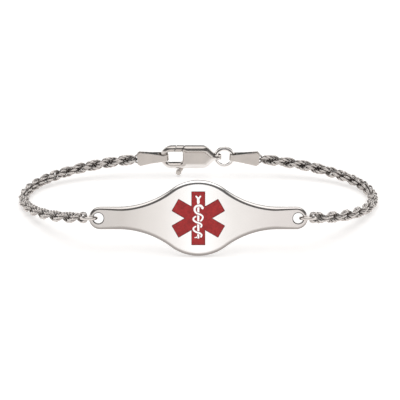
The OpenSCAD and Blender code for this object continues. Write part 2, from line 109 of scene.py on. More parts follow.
def slabProfile(thick, back, front, steps):  # rows of inset, height, outward normal, upward normal
    rows = []
    for side, (wide, deep) in ((-1, back), (1, front)):
        for i in range(steps + 1):
            a = math.pi / 2 * (i if side < 0 else steps - i) / steps
            n = Vector((math.sin(a) / wide, side * math.cos(a) / deep)).normalized()
            rows.append((wide * (1 - math.sin(a)), side * (thick / 2 - deep * (1 - math.cos(a))), n.x, n.y))
    return rows


def inset(outline, by):
    return outline[:, :2] - outline[:, 2:] * by


def flatParts(shapes):
    # cuts overlapping flat shapes into triangles that know the shapes they lie in
    points, faces, labels = [], [], []
    for label, ring in shapes:
        area = sum(ring[i][0] * ring[i - 1][1] - ring[i - 1][0] * ring[i][1] for i in range(len(ring)))
        ring = list(ring) if area < 0 else list(ring)[::-1]
        start = len(points)
        points.extend(Vector((float(p[0]), float(p[1]))) for p in ring)
        faces.append(list(range(start, len(points))))
        labels.append(label)
    spots, _, tris, fromPoints, _, fromFaces = delaunay_2d_cdt(points, [], faces, 0, 1e-6)
    exact = [points[o[0]] if o else s for s, o in zip(spots, fromPoints)]
    flat = [(float(p.x), float(p.y)) for p in exact]
    return flat, [(tuple(t), {labels[f] for f in own}) for t, own in zip(tris, fromFaces)]


def ribbon(course, widths, capPoints=9):  # quads along a course, with round ends
    course = np.array(course, float)
    count = len(course) - 1
    w = np.interp(np.linspace(0, 1, count + 1), np.linspace(0, 1, len(widths)), widths)
    ahead = np.vstack([course[1:], course[-1:]]) - np.vstack([course[:1], course[:-1]])
    ahead /= np.linalg.norm(ahead, axis=1)[:, None]
    side = np.stack([-ahead[:, 1], ahead[:, 0]], 1) * w[:, None] / 2
    left, right = course + side, course - side
    parts = [[left[i], right[i], right[i + 1], left[i + 1]] for i in range(count)]
    for at, inner, wide in ((course[0], course[1], w[0]), (course[-1], course[-2], w[-1])):
        out = at - inner
        a = math.atan2(out[1], out[0]) + np.linspace(math.pi / 2, -math.pi / 2, capPoints)
        parts.append([at + wide / 2 * np.array([math.cos(t), math.sin(t)]) for t in a])
    return parts


def bend(handles, count):  # points along a curve with two handles
    t = np.linspace(0, 1, count + 1)[:, None]
    u = 1 - t
    p = np.array(handles, float)
    return u ** 3 * p[0] + 3 * u ** 2 * t * p[1] + 3 * u * t ** 2 * p[2] + t ** 3 * p[3]


def wireLoops(name, loops, around, across):
    # closed rings of round wire; each loop is its middle, two half axes and the wire's diameter
    # proud says how far a point stands out from the line along the loop's second axis
    points, faces, proud = [], [], []
    turn = np.linspace(0, 2 * math.pi, around, endpoint=False)
    roll = np.linspace(0, 2 * math.pi, across, endpoint=False)
    grid = np.arange(around * across).reshape(around, across)
    nextAround, nextAcross = np.roll(grid, -1, 0), np.roll(grid, -1, 1)
    quads = np.stack([grid, nextAround, np.roll(nextAround, -1, 1), nextAcross], -1)
    for at, axisA, axisB, wire in loops:
        axle = np.cross(axisA, axisB)
        axle = axle / np.linalg.norm(axle)
        line = at + np.cos(turn)[:, None] * axisA + np.sin(turn)[:, None] * axisB
        way = -np.sin(turn)[:, None] * axisA + np.cos(turn)[:, None] * axisB
        out = np.cross(way, axle)
        out /= np.linalg.norm(out, axis=1)[:, None]
        away = np.cos(roll)[None, :, None] * out[:, None] + np.sin(roll)[None, :, None] * axle
        skin = line[:, None] + wire / 2 * away
        faces.append(quads.reshape(-1, 4) + len(points) * around * across)
        points.append(skin.reshape(-1, 3))
        off = points[-1] - at
        axis = axisB / np.linalg.norm(axisB)
        fromLine = np.linalg.norm(off - np.outer(off @ axis, axis), axis=1)
        proud.append(fromLine / (np.linalg.norm(axisA) + wire / 2))
    mesh = bpy.data.meshes.new(name)
    mesh.from_pydata((np.vstack(points) * mm).tolist(), [], np.vstack(faces).tolist())
    mesh.shade_smooth()
    piece = newPiece(name, mesh)
    mark(piece, "proud", np.concatenate(proud))
    return piece


def pointsOf(mesh):
    points = np.empty(len(mesh.vertices) * 3, dtype=np.float32)
    mesh.vertices.foreach_get("co", points)
    return points.reshape(-1, 3)


def movePoints(mesh, points):
    mesh.vertices.foreach_set("co", points.ravel())
    mesh.update()


def rubOver(piece, times):
    rub = piece.modifiers.new("rub", "SMOOTH")
    rub.factor = 0.5
    rub.iterations = times
    rubbed = piece.evaluated_get(bpy.context.evaluated_depsgraph_get())
    piece.data = bpy.data.meshes.new_from_object(rubbed)
    piece.modifiers.clear()


def castCopy(node, name, settings, press=None):
    # the CAD piece at an even grain, its edges rubbed over as on a tumbled casting
    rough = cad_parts[node].data.copy()
    movePoints(rough, pointsOf(rough) / mm)
    rough.materials.clear()
    piece = newPiece(name, rough)
    even = piece.modifiers.new("even", "REMESH")
    even.mode = "VOXEL"
    even.voxel_size = settings["grain"]
    rubOver(piece, settings["rubbed"])
    if press:
        movePoints(piece.data, press(pointsOf(piece.data)))
        rubOver(piece, settings["rubbedAfter"])
    mesh = piece.data
    movePoints(mesh, pointsOf(mesh) * mm)
    mesh.name = name
    mesh.shade_smooth()
    print(name, len(mesh.polygons), "faces")
    return piece


def toOutline(x, y, ring):  # distance from each point to a closed line
    starts = ring[:, :2]
    nearest = np.full(len(x), np.inf)
    for (ax, ay), (dx, dy) in zip(starts, np.roll(starts, -1, 0) - starts):
        t = np.clip(((x - ax) * dx + (y - ay) * dy) / max(dx * dx + dy * dy, 1e-12), 0, 1)
        nearest = np.minimum(nearest, np.hypot(x - ax - t * dx, y - ay - t * dy))
    return nearest


# shader maths

class Value:  # a socket that can be used in plain sums
    def __init__(self, tree, socket):
        self.tree = tree
        self.socket = socket

    def maths(self, operation, *others):
        inputs = dict(enumerate((self,) + others))
        return add(self.tree, "Math", {"operation": operation}, inputs)

    def __add__(self, other): return self.maths("ADD", other)
    def __radd__(self, other): return self.maths("ADD", other)
    def __mul__(self, other): return self.maths("MULTIPLY", other)
    def __rmul__(self, other): return self.maths("MULTIPLY", other)
    def __truediv__(self, other): return self.maths("DIVIDE", other)

    def held(self, times, plus):  # scaled and moved, then kept between 0 and 1
        return self.maths("MULTIPLY_ADD", times, plus).maths("MINIMUM", 1).maths("MAXIMUM", 0)

    def pick(self, output):
        return Value(self.tree, self.socket.node.outputs[output])


def add(tree, kind, settings=None, inputs=None):  # a node, given back as its first output
    node = tree.nodes.new("ShaderNode" + kind)
    for key, value in (settings or {}).items():
        if key == "stops":
            stops = node.color_ramp.elements
            while len(stops) < len(value):
                stops.new(0.5)
            for stop, (where, shade) in zip(stops, value):
                stop.position = where
                stop.color = (shade if isinstance(shade, tuple) else (shade,) * 3) + (1,)
        else:
            setattr(node, key, value)
    for key, value in (inputs or {}).items():
        if isinstance(value, Value):
            tree.links.new(value.socket, node.inputs[key])
        else:
            node.inputs[key].default_value = value
    return Value(tree, node.outputs[0]) if node.outputs else None


def mixColours(tree, share, first, second):
    pad = lambda c: c if isinstance(c, Value) else c + (1,)
    return add(tree, "Mix", {"data_type": "RGBA"}, {0: share, 6: pad(first), 7: pad(second)}).pick(2)


def attribute(tree, name):
    return add(tree, "Attribute", {"attribute_name": name}).pick("Fac")


def axisOf(tree, vector, axis):
    return add(tree, "SeparateXYZ", {}, {0: vector}).pick(axis)


def newTree(owner):
    owner.use_nodes = True
    owner.node_tree.nodes.clear()
    return owner.node_tree


def finish(name, principled, surface):
    # a material: principled holds its plain values and surface(tree) returns what changes over it
    material = bpy.data.materials.new(name)
    tree = newTree(material)
    shader = add(tree, "BsdfPrincipled", {}, dict(principled, **surface(tree)))
    add(tree, "OutputMaterial", {}, {"Surface": shader})
    return material


# finishes

silverLook = {
    "tone": (0.66, 0.615, 0.585),
    "toneWorn": (0.58, 0.54, 0.51), "wornMost": 0.6,
    "roughness": 0.10, "roughnessSpread": 0.07,
    "cloudSize": 2.2, "cloudCurve": (2.4, -0.7),  # mm; how the noise is scaled and moved
    "scratchSize": 0.25, "scratchDepth": 0.0012,  # mm
}


def silverSurface(look, stretch):
    def surface(tree):
        at = add(tree, "TexCoord").pick("Object")
        near = add(tree, "VectorMath", {"operation": "MULTIPLY"}, {0: at, 1: stretch})
        cloud = add(tree, "TexNoise", {}, {"Vector": at, "Scale": 1 / (look["cloudSize"] * mm), "Detail": 4})
        hair = add(tree, "TexNoise", {}, {
            "Vector": near, "Scale": 1 / (look["scratchSize"] * mm), "Detail": 5, "Roughness": 0.7})
        worn = cloud.held(*look["cloudCurve"])
        depth = look["scratchDepth"] * mm
        return {
            "Base Color": mixColours(tree, worn * look["wornMost"], look["tone"], look["toneWorn"]),
            "Roughness": look["roughness"] + look["roughnessSpread"] * (worn * 0.5 + hair * 0.5),
            "Normal": add(tree, "Bump", {}, {"Strength": 1.0, "Distance": depth, "Height": hair})}
    return surface


# the colours along the plate are a painted highlight at the middle and painted shade greying towards the arms
plateLook = dict(silverLook, span=42, along=(
    (0.0, (0.50, 0.47, 0.45)), (0.15, (0.52, 0.485, 0.46)), (0.34, (0.67, 0.635, 0.61)),
    (0.5, (0.86, 0.84, 0.83)), (0.66, (0.69, 0.66, 0.635)), (0.85, (0.60, 0.56, 0.54)),
    (1.0, (0.58, 0.54, 0.52))),
    # the under colour is painted shade where the edge faces down and to the front
    under=(0.34, 0.315, 0.30), underFrom=0.29, underTo=-0.1, frontFrom=0.3, frontTo=0.0,
    # the over colour is painted shade on the top of the edge, the bore colour painted shade in the holes
    over=(0.22, 0.205, 0.195), overFrom=0.90, overTo=0.985, bore=(0.09, 0.085, 0.08))
wireLook = dict(silverLook, roughness=0.13, scratchSize=0.16)
# the dark colour is painted shade deep between the links, from darkAt to brightAt of how far a point stands
# out
ropeLook = dict(wireLook, tone=(0.63, 0.59, 0.565), toneWorn=(0.53, 0.495, 0.47), roughness=0.12,
                darkAt=0.38, brightAt=0.92, deepShade=(0.29, 0.27, 0.255))
# the seam colour is painted shade where the two turns meet
coilLook = dict(wireLook, tone=(0.84, 0.81, 0.79), toneWorn=(0.74, 0.71, 0.69), seam=(0.06, 0.055, 0.05))
castLook = dict(silverLook, tone=(0.53, 0.49, 0.46), toneWorn=(0.46, 0.425, 0.40), roughness=0.12,
                # the over colour is painted shade on top
                scratchSize=0.2, over=(0.16, 0.15, 0.14), overFrom=0.88, overTo=0.97,
                # the under colour is painted light where the surface turns under
                under=(0.86, 0.83, 0.81), underFrom=-0.12, underTo=-0.4,
                # the gap colour is painted shade on the bottom lip and beside the gate's splits
                gap=(0.14, 0.13, 0.12), lipFrom=-0.72, lipTo=-0.86)


def eased(tree, value, low, high):
    return add(tree, "MapRange", {"interpolation_type": "SMOOTHSTEP"}, {
        "Value": value, "From Min": low, "From Max": high})


def facing(tree, axis):  # how far a surface faces along an axis
    return axisOf(tree, add(tree, "NewGeometry").pick("Normal"), axis)


def plateSurface(tree):  # painted highlight at the middle, painted shade along the arms, round the edge and in the holes
    look = plateLook
    inputs = silverSurface(look, (0.06, 1, 1))(tree)
    x = axisOf(tree, add(tree, "TexCoord").pick("Object"), "X")
    # painted highlight at the middle of the plate, painted shade towards the arms
    colour = add(tree, "ValToRGB", {"stops": look["along"]}, {0: x / (look["span"] * mm) + 0.5})
    up, back = facing(tree, "Z"), facing(tree, "Y")
    # painted shade on the edge where it faces down and to the front
    under = eased(tree, up, look["underFrom"], look["underTo"])
    under = under * eased(tree, back, look["frontFrom"], look["frontTo"])
    # painted shade on the top of the edge
    over = eased(tree, up, look["overFrom"], look["overTo"])
    # the last mark paints shade into the holes
    for share, name in ((over, "over"), (under, "under"), (attribute(tree, "bore"), "bore")):
        colour = mixColours(tree, share, colour, look[name])
    return dict(inputs, **{"Base Color": colour})


def castSurface(tree):  # painted shade on top and in the gaps, painted light where it turns under
    look = castLook
    inputs = silverSurface(look, (1, 1, 0.3))(tree)
    up, colour = facing(tree, "Z"), inputs["Base Color"]
    for share, name in (
            # painted shade on top
            (eased(tree, up, look["overFrom"], look["overTo"]), "over"),
            # painted light where the surface turns under
            (eased(tree, up, look["underFrom"], look["underTo"]), "under"),
            # painted shade on the bottom lip and beside the gate's splits
            (eased(tree, up, look["lipFrom"], look["lipTo"]), "gap"),
            (eased(tree, attribute(tree, "open"), 0.0, 1.0), "gap")):
        colour = mixColours(tree, share, colour, look[name])
    return dict(inputs, **{"Base Color": colour})


def ropeSurface(tree):  # painted shade deep between the links
    inputs = silverSurface(ropeLook, (1, 1, 1))(tree)
    # painted shade where a point lies deep, none where it stands out
    out = eased(tree, attribute(tree, "proud"), ropeLook["darkAt"], ropeLook["brightAt"])
    return dict(inputs, **{"Base Color": mixColours(tree, out, ropeLook["deepShade"], inputs["Base Color"])})


def coilSurface(tree):  # painted shade where the two turns meet
    inputs = silverSurface(coilLook, (1, 1, 1))(tree)
    seam = attribute(tree, "seam")
    return dict(inputs, **{"Base Color": mixColours(tree, seam, inputs["Base Color"], coilLook["seam"])})


metal = {"Metallic": 1.0}
plateSilver = finish("polishedPlate", metal, plateSurface)
ropeSilver = finish("ropeLinks", metal, ropeSurface)
wireSilver = finish("drawnWire", metal, silverSurface(wireLook, (1, 1, 1)))
coilSilver = finish("coiledWire", metal, coilSurface)
castSilver = finish("polishedCasting", metal, castSurface)

enamelLook = {
    # the rim colour is painted shade along the star's edge
    "red": (0.47, 0.017, 0.018), "deep": (0.25, 0.008, 0.010), "rim": (0.10, 0.006, 0.008),
    "roughness": 0.2, "roughnessSpread": 0.1, "specular": 0.35,
    "speckle": 0.34, "ripple": 0.9, "rippleDepth": 0.012,  # mm
    "cloudCurve": (2.6, -0.8),
}


def enamelSurface(tree):
    look = enamelLook
    at = add(tree, "TexCoord").pick("Object")
    fine = add(tree, "TexNoise", {}, {"Vector": at, "Scale": 1 / (look["speckle"] * mm), "Detail": 3})
    broad = add(tree, "TexNoise", {}, {"Vector": at, "Scale": 1 / (look["ripple"] * mm), "Detail": 2})
    share = (fine * 0.5 + broad * 0.5).held(*look["cloudCurve"])
    colour = mixColours(tree, share, look["red"], look["deep"])
    depth = look["rippleDepth"] * mm
    return {
        # painted shade along the star's edge, full on its outline
        "Base Color": mixColours(tree, attribute(tree, "rim"), colour, look["rim"]),
        "Roughness": look["roughness"] + look["roughnessSpread"] * fine,
        "Normal": add(tree, "Bump", {}, {"Strength": 1.0, "Distance": depth, "Height": broad})}


redEnamel = finish("firedEnamel", {"Specular IOR Level": enamelLook["specular"]}, enamelSurface)
print("finishes made")


# name plate, with the star's recess and the staff and serpent left standing in it

plate = {
    "length": 42, "height": 14.6, "thick": 1.3, "arm": 4.3,
    "bellyRadius": 8.75, "shoulderRadius": 17.25,
    "frontEdge": (0.82, 0.5), "backEdge": (0.25, 0.25), "edgeSteps": 12, "footRound": 0.75,
    "lean": 19, "hole": 2.0, "holeWall": 0.8, "holeBevel": 0.2,
    "endEdge": 0.68,  # how wide the edges are round the holes, as a share of the rest
    "holeTurn": 5, "holeRows": 5,  # degrees from point to point, and rows over each bevel
    "boreDark": (1.5, 0.13),  # how strongly, and over how many mm, shade is painted into the holes
    "depth": 41,  # of the whole loop, whose front the plate's foot is
}
lean = math.radians(plate["lean"])
halfHigh, halfThick = plate["height"] / 2, plate["thick"] / 2
frontWide, frontDeep = plate["frontEdge"]
backWide = plate["backEdge"][0]
footRound = plate["footRound"]
leanSin, leanCos = math.sin(lean), math.cos(lean)
plateY = (-plate["depth"] / 2 + (halfHigh - footRound) * leanSin + (halfThick - frontDeep) * leanCos
          + math.hypot(footRound * leanSin, frontDeep * leanCos))
plateZ = (halfHigh - backWide) * leanCos + (halfThick - backWide) * leanSin + backWide
plateUp = np.array([0, leanSin, leanCos])
plateFront = np.array([0, -leanCos, leanSin])
holeX = plate["length"] / 2 - plate["holeWall"] - plate["hole"] / 2
holeLip = plate["hole"] / 2 + plate["holeBevel"]
holeTurns = np.radians(np.arange(0, 360, plate["holeTurn"]))
armX = (plate["length"] - plate["arm"]) / 2  # where the ends' round starts


def turnedToPlate(n):  # from the plate's own axes to the loop's
    up, out = n[1], n[2]
    return Vector((n[0], up * plateUp[1] + out * plateFront[1], up * plateUp[2] + out * plateFront[2]))


def onPlate(p):
    return (turnedToPlate(p) + Vector((0, plateY, plateZ))) * mm


def plateOutline():
    armR = plate["arm"] / 2
    belly, shoulder = plate["bellyRadius"], plate["shoulderRadius"]
    drop = armR + shoulder - halfHigh + belly
    shoulderX = math.sqrt((belly + shoulder) ** 2 - drop ** 2)
    turn = math.degrees(math.asin(shoulderX / (belly + shoulder)))
    return closed(np.vstack([
        arc(armX, 0, armR, 0, 90, step=4),
        arc(shoulderX, armR + shoulder, shoulder, -90, -90 - turn, True),
        arc(0, halfHigh - belly, belly, 90 - turn, 90 + turn)[1:-1],
        arc(-shoulderX, armR + shoulder, shoulder, -90 + turn, -90, True),
        arc(-armX, 0, armR, 90, 180, step=4)]))


star = {
    "length": 10.4, "width": 2.72, "corner": 0.16, "deep": 0.35, "gap": 0.03,
    "staffHigh": 8.1, "staffWide": 0.34, "staffRise": 0.16, "stem": (1.35, 1.2),
    "fork": 0.4, "forkRoot": 0.1, "forkThin": 0.85,
    "coilWide": 2.0, "coilPitch": 1.91, "coilSteps": 16, "break": 0.13,
    "thick": 0.47, "thin": 0.33, "nape": 0.85, "farSide": 0.8, "tailEnd": 0.3,
    # the rim width is how far in from the star's edge the painted shade fades out
    "eye": (0.62, 2.2), "eyeLong": 0.34, "eyeWide": 0.13, "eyeTurn": 25, "rim": 0.16,
    "cornerTurns": range(-82, -7, 15),  # degrees round a bar's corner
}
serpentBends = [  # where it starts, its bends and its widths
    ((0, 0.44), [[(0.8, 0.6), (0.55, 0.85), (0.3, 0.86), (0.05, 0.84)],
                 [(0.05, 0.84), (-0.95, 0.8), (-0.95, 0.16), (0, 0)],
                 [(0, 0), (0.75, -0.08), (1.25, -0.34), (0.48, -0.7)]],
     ("thick", "nape", "thin", "far")),
    ((-0.1, -0.44), [[(-0.42, 0.61), (-1.25, 0.39), (-0.75, 0.1), (0, 0)],
                     [(0, 0), (0.5, -0.07), (0.95, -0.18), (0.62, -0.44)]], ("far", "thin", "far")),
    ((-0.1, -1.44), [[(-0.42, 0.61), (-1.25, 0.39), (-0.75, 0.1), (0, 0)],
                     [(0, 0), (0.5, -0.07), (0.95, -0.18), (0.62, -0.44)]], ("far", "thin", "far")),
    ((0, -1.92), [[(-0.34, 0), (-0.46, -0.015), (-0.58, -0.027), (-0.7, -0.04)]], ("far", "end")),
]


def starOutline(grow):  # six bars with small round corners, and the points between them
    long, wide, r = star["length"] / 2 + grow, star["width"] / 2 + grow, star["corner"]
    points = []
    for i in range(6):
        a = math.radians(60 * i + 90)
        bar = [(long - r + r * math.cos(math.radians(c)), -wide + r + r * math.sin(math.radians(c)))
               for c in star["cornerTurns"]]
        bar += [(x, -y) for x, y in bar[::-1]]
        points += [(x * math.cos(a) - y * math.sin(a), x * math.sin(a) + y * math.cos(a)) for x, y in bar]
        points.append((2 * wide * math.cos(a + math.pi / 6), 2 * wide * math.sin(a + math.pi / 6)))
    return points


def serpentRibbons(grow):
    share = {"thick": star["thick"], "nape": star["thick"] * star["nape"], "thin": star["thin"],
             "far": star["thin"] * star["farSide"], "end": star["thin"] * star["tailEnd"]}
    parts = []
    for (x, y), bends, widths in serpentBends:
        handles = [[(px * star["coilWide"] / 2 + x, (py + y) * star["coilPitch"]) for px, py in b]
                   for b in bends]
        course = np.vstack([bend(h, star["coilSteps"])[min(i, 1):] for i, h in enumerate(handles)])
        parts += ribbon(course, [share[w] + 2 * grow for w in widths])
    return parts


def staffParts(grow):
    top = star["staffHigh"] / 2 + star["staffRise"]
    w = star["staffWide"] + 2 * grow
    fork = star["fork"]
    low, high = top - star["staffHigh"] - grow, top - fork - grow
    parts = [[(-w / 2, low), (w / 2, low), (w / 2, high), (-w / 2, high)]]
    parts += ribbon([(0, top - 3 * fork), (0, top - fork)], [star["stem"][0] * w, star["stem"][1] * w])
    for s in (-1, 1):
        parts += ribbon([(0, top - fork - star["forkRoot"]), (s * fork, top)], [w, star["forkThin"] * w])
    return parts


def starShapes(grow):
    shapes = [("star", starOutline(-grow))]
    shapes += [("serpent", p) for p in serpentRibbons(grow)]
    shapes += [("round", p) for p in serpentRibbons(star["break"] - grow)]
    return shapes + [("staff", p) for p in staffParts(grow)]


def serpentEye():
    turn = math.radians(star["eyeTurn"])
    a = np.radians(np.arange(0, 360, 30))
    x, y = star["eyeLong"] / 2 * np.cos(a), star["eyeWide"] / 2 * np.sin(a)
    return np.stack([star["eye"][0] + x * math.cos(turn) - y * math.sin(turn),
                     star["eye"][1] + x * math.sin(turn) + y * math.cos(turn)], 1)


def isEmblem(within):
    return "serpent" in within or ("staff" in within and "round" not in within)


def holeCircle(s, r):
    return [(s * holeX + r * math.cos(t), r * math.sin(t)) for t in holeTurns]


def buildFaces(skin, outline, edge):  # the flat front and back, and the recess in the front
    holes = [("hole", holeCircle(s, holeLip)) for s in (-1, 1)]
    for side, by in ((1, frontWide), (-1, backWide)):
        shapes = [("face", inset(outline, by * edge).tolist())] + holes
        if side > 0:
            shapes += starShapes(0) + [("eye", serpentEye())]
        spots, tris = flatParts(shapes)
        top = side * halfThick
        floor = top - star["deep"]
        recess = {}
        for corners, within in tris:
            if "face" not in within or "hole" in within:
                continue
            sunk = "star" in within and (not isEmblem(within) or "eye" in within)
            ids = skin.row([(*spots[c], floor if sunk else top) for c in corners])
            skin.face(ids if side > 0 else ids[::-1], [(0, 0, side)] * 3)
            for i in range(3):
                recess[(corners[i], corners[(i + 1) % 3])] = sunk
        for (a, b), sunk in recess.items():
            if sunk and recess.get((b, a)) is False:
                skin.wall(spots[a], spots[b], floor, top)


def buildHoles(skin):
    bevel, rows = plate["holeBevel"], plate["holeRows"]
    for s in (-1, 1):
        before = None
        for side in (1, -1):
            for i in range(rows + 1):
                a = math.pi / 2 * (i if side > 0 else rows - i) / rows
                z = side * (halfThick - bevel * (1 - math.cos(a)))
                row = skin.row([(x, y, z) for x, y in holeCircle(s, holeLip - bevel * math.sin(a))])
                normals = [(-math.cos(t) * math.sin(a), -math.sin(t) * math.sin(a), side * math.cos(a))
                           for t in holeTurns]
                if before:
                    skin.band(*before, row, normals)
                before = row, normals


def buildPlate():
    skin = Skin()
    outline = plateOutline()
    edge = np.interp(np.abs(outline[:, :1]), (armX - plate["arm"], armX), (1, plate["endEdge"]))
    before = None
    for by, high, nOut, nUp in slabProfile(plate["thick"], plate["backEdge"], plate["frontEdge"],
                                           plate["edgeSteps"]):
        row = skin.row([(x, y, high) for x, y in inset(outline, by * edge)])
        normals = [(nx * nOut, ny * nOut, nUp) for nx, ny in outline[:, 2:]]
        if before:
            skin.band(*before, row, normals)
        before = row, normals
    buildFaces(skin, outline, edge)
    buildHoles(skin)
    piece = skin.make("namePlate", onPlate, turnedToPlate)
    # painted shade in the holes, full on the bore's wall and fading out over the bevel
    strong, wide = plate["boreDark"]
    fromBore = [math.hypot(abs(x) - holeX, y) - plate["hole"] / 2 for x, y, _ in skin.points]
    mark(piece, "bore", [strong - f / wide for f in fromBore])
    piece.data.materials.append(plateSilver)
    return piece


def buildEnamel():
    skin = Skin()
    gap = star["gap"]
    spots, tris = flatParts(starShapes(gap) + [("inner", starOutline(-gap - star["rim"]))])
    high, low = halfThick - gap, halfThick - star["deep"] + gap
    edges = set()
    for corners, within in tris:
        if "star" not in within or isEmblem(within):
            continue
        skin.face(skin.row([(*spots[c], high) for c in corners]), [(0, 0, 1)] * 3)
        skin.face(skin.row([(*spots[c], low) for c in corners[::-1]]), [(0, 0, -1)] * 3)
        edges.update((corners[i], corners[(i + 1) % 3]) for i in range(3))
    for a, b in edges:
        if (b, a) not in edges:
            skin.wall(spots[a], spots[b], high, low)
    piece = skin.make("starEnamel", onPlate, turnedToPlate)
    # painted shade is full on the points of the star's outline and fades to none at the inner outline
    rim = {(round(x, 3), round(y, 3)) for x, y in starOutline(-gap)}
    mark(piece, "rim", [float((round(x, 3), round(y, 3)) in rim) for x, y, _ in skin.points])
    piece.data.materials.append(redEnamel)
    return piece


namePlate = buildPlate()
starEnamel = buildEnamel()
print("plate and enamel made")


# rings at the plate's ends, and the course of the rope

rings = {"wire": 0.65, "across": 3.5, "slack": 0.12, "leaveYaw": 47, "leaveFall": 20, "mesh": (96, 20)}
loop = {"width": 73, "depth": 41, "sideBack": 5.5, "ropeHigh": 1.12, "linkAcross": 2.28,
        "platePull": 0.19, "sidePull": 0.24, "tabPull": 0.15, "steps": 200}
backRow = {"backY": 19.36, "high": 4.28711, "end": 7.30709, "tabLong": 5.4, "tabFall": 5,
           "barIn": 0.8, "barWire": 0.6}

ringR = (rings["across"] - rings["wire"]) / 2
ringIn = ringR - rings["wire"] / 2
ringSag = ringIn - math.sqrt(ringIn ** 2 - halfThick ** 2)
ringX = holeX + plate["hole"] / 2 - rings["slack"] / 2 - ringSag + ringIn
yaw, fall = math.radians(rings["leaveYaw"]), math.radians(rings["leaveFall"])
leave = np.array([math.cos(fall) * math.cos(yaw), math.cos(fall) * math.sin(yaw), -math.sin(fall)])
ringTurned = math.atan2(float(leave @ plateFront), leave[0])
ringMid = np.array([ringX, plateY, plateZ])
ringOut = ringMid + ringR * (math.cos(ringTurned) * np.array([1.0, 0, 0]) + math.sin(ringTurned) * plateFront)

tabFall = math.radians(backRow["tabFall"])
tabWay = np.array([math.cos(tabFall), 0, -math.sin(tabFall)])
tabStart = np.array([backRow["end"], backRow["backY"], backRow["high"]])
tabEnd = tabStart + tabWay * (backRow["tabLong"] - backRow["barIn"])
ropeSide = np.array([loop["width"] / 2 - loop["linkAcross"] / 2, loop["sideBack"], loop["ropeHigh"]])
depthWay = np.array([0, loop["depth"], 0])
course = np.vstack([
    bend([ringOut, ringOut + leave * loop["depth"] * loop["platePull"],
          ropeSide - depthWay * loop["platePull"], ropeSide], loop["steps"]),
    bend([ropeSide, ropeSide + depthWay * loop["sidePull"],
          tabEnd + tabWay * loop["width"] * loop["tabPull"], tabEnd], loop["steps"])[1:]])
courseAt = np.concatenate([[0], np.cumsum(np.linalg.norm(np.diff(course, axis=0), axis=1))])
courseLong = courseAt[-1]


def along(s):
    return np.array([np.interp(s, courseAt, course[:, i]) for i in range(3)])


def ropeFrame(s, side, reach=0.25):  # middle, way, up and sideways at a distance along the course
    at = along(s) * [side, 1, 1]
    way = (along(min(courseLong, s + reach)) - along(max(0, s - reach))) * [side, 1, 1]
    way /= np.linalg.norm(way)
    across = np.cross([0, 0, 1], way)
    across /= np.linalg.norm(across)
    return at, way, np.cross(way, across), across


def plateRing(name, side):
    turn = ringMid * [side, 1, 1], np.array([ringR, 0, 0]), ringR * plateFront, rings["wire"]
    ring = wireLoops(name, [turn], *rings["mesh"])
    ring.data.materials.append(wireSilver)
    return ring


rope = {
    "wire": 0.37, "pitch": 0.38, "fan": (-20, 0, 20), "mesh": (28, 10),
    "twistAt": (0, 12, 22, 31, 39, 47, 58),  # mm from the plate's ring
    "halfTurn": (4.87, 4.64, 3.58, 2.37, 2.57, 3.16, 3.83),  # mm for half a turn
    "startTurn": {1: -51.28, -1: 161.94}, "endLinkTurn": -12.9,
    "ringGap": 0.02, "barGap": 0.04,
    "ringRoom": 3, "barRoom": 4,  # pitches from the end links to the next ones
    "samples": 400,
}
twistAlong = np.linspace(0, courseLong, rope["samples"])
halfTurns = np.interp((twistAlong[1:] + twistAlong[:-1]) / 2, rope["twistAt"], rope["halfTurn"])
twistTurned = np.concatenate([[0], np.cumsum(180 * np.diff(twistAlong) / halfTurns)])


def buildRope(name, side):
    wire, fan = rope["wire"], rope["fan"]
    r = (loop["linkAcross"] - wire) / 2
    inner = r - wire / 2
    ringSeat = inner - rings["wire"] / 2 - rope["ringGap"]
    barSeat = courseLong - (inner - backRow["barWire"] / 2 - rope["barGap"])
    first = ringSeat + rope["ringRoom"] * rope["pitch"]
    last = barSeat - rope["barRoom"] * rope["pitch"]
    count = round((last - first) / rope["pitch"])
    links = [(ringSeat, f - side * rope["endLinkTurn"]) for f in fan]  # three links share the plate's ring
    links.append((barSeat, 0))
    for k in range(count + 1):
        s = first + (last - first) * k / count
        twist = np.interp(s, twistAlong, twistTurned)
        links.append((s, rope["startTurn"][side] + twist + fan[k % len(fan)]))
    loops = []
    for s, turn in links:
        at, way, up, across = ropeFrame(s, side)
        a = math.radians(turn)
        loops.append((at, r * (math.cos(a) * up + math.sin(a) * across), r * way, wire))
    piece = wireLoops(name, loops, *rope["mesh"])
    piece.data.materials.append(ropeSilver)
    return piece


plateRingLeft = plateRing("plateRingLeft", -1)
plateRingRight = plateRing("plateRingRight", 1)
ropeLeft = buildRope("ropeLeft", -1)
ropeRight = buildRope("ropeRight", 1)
print("rings and ropes made")


# tabs, split ring and clasp

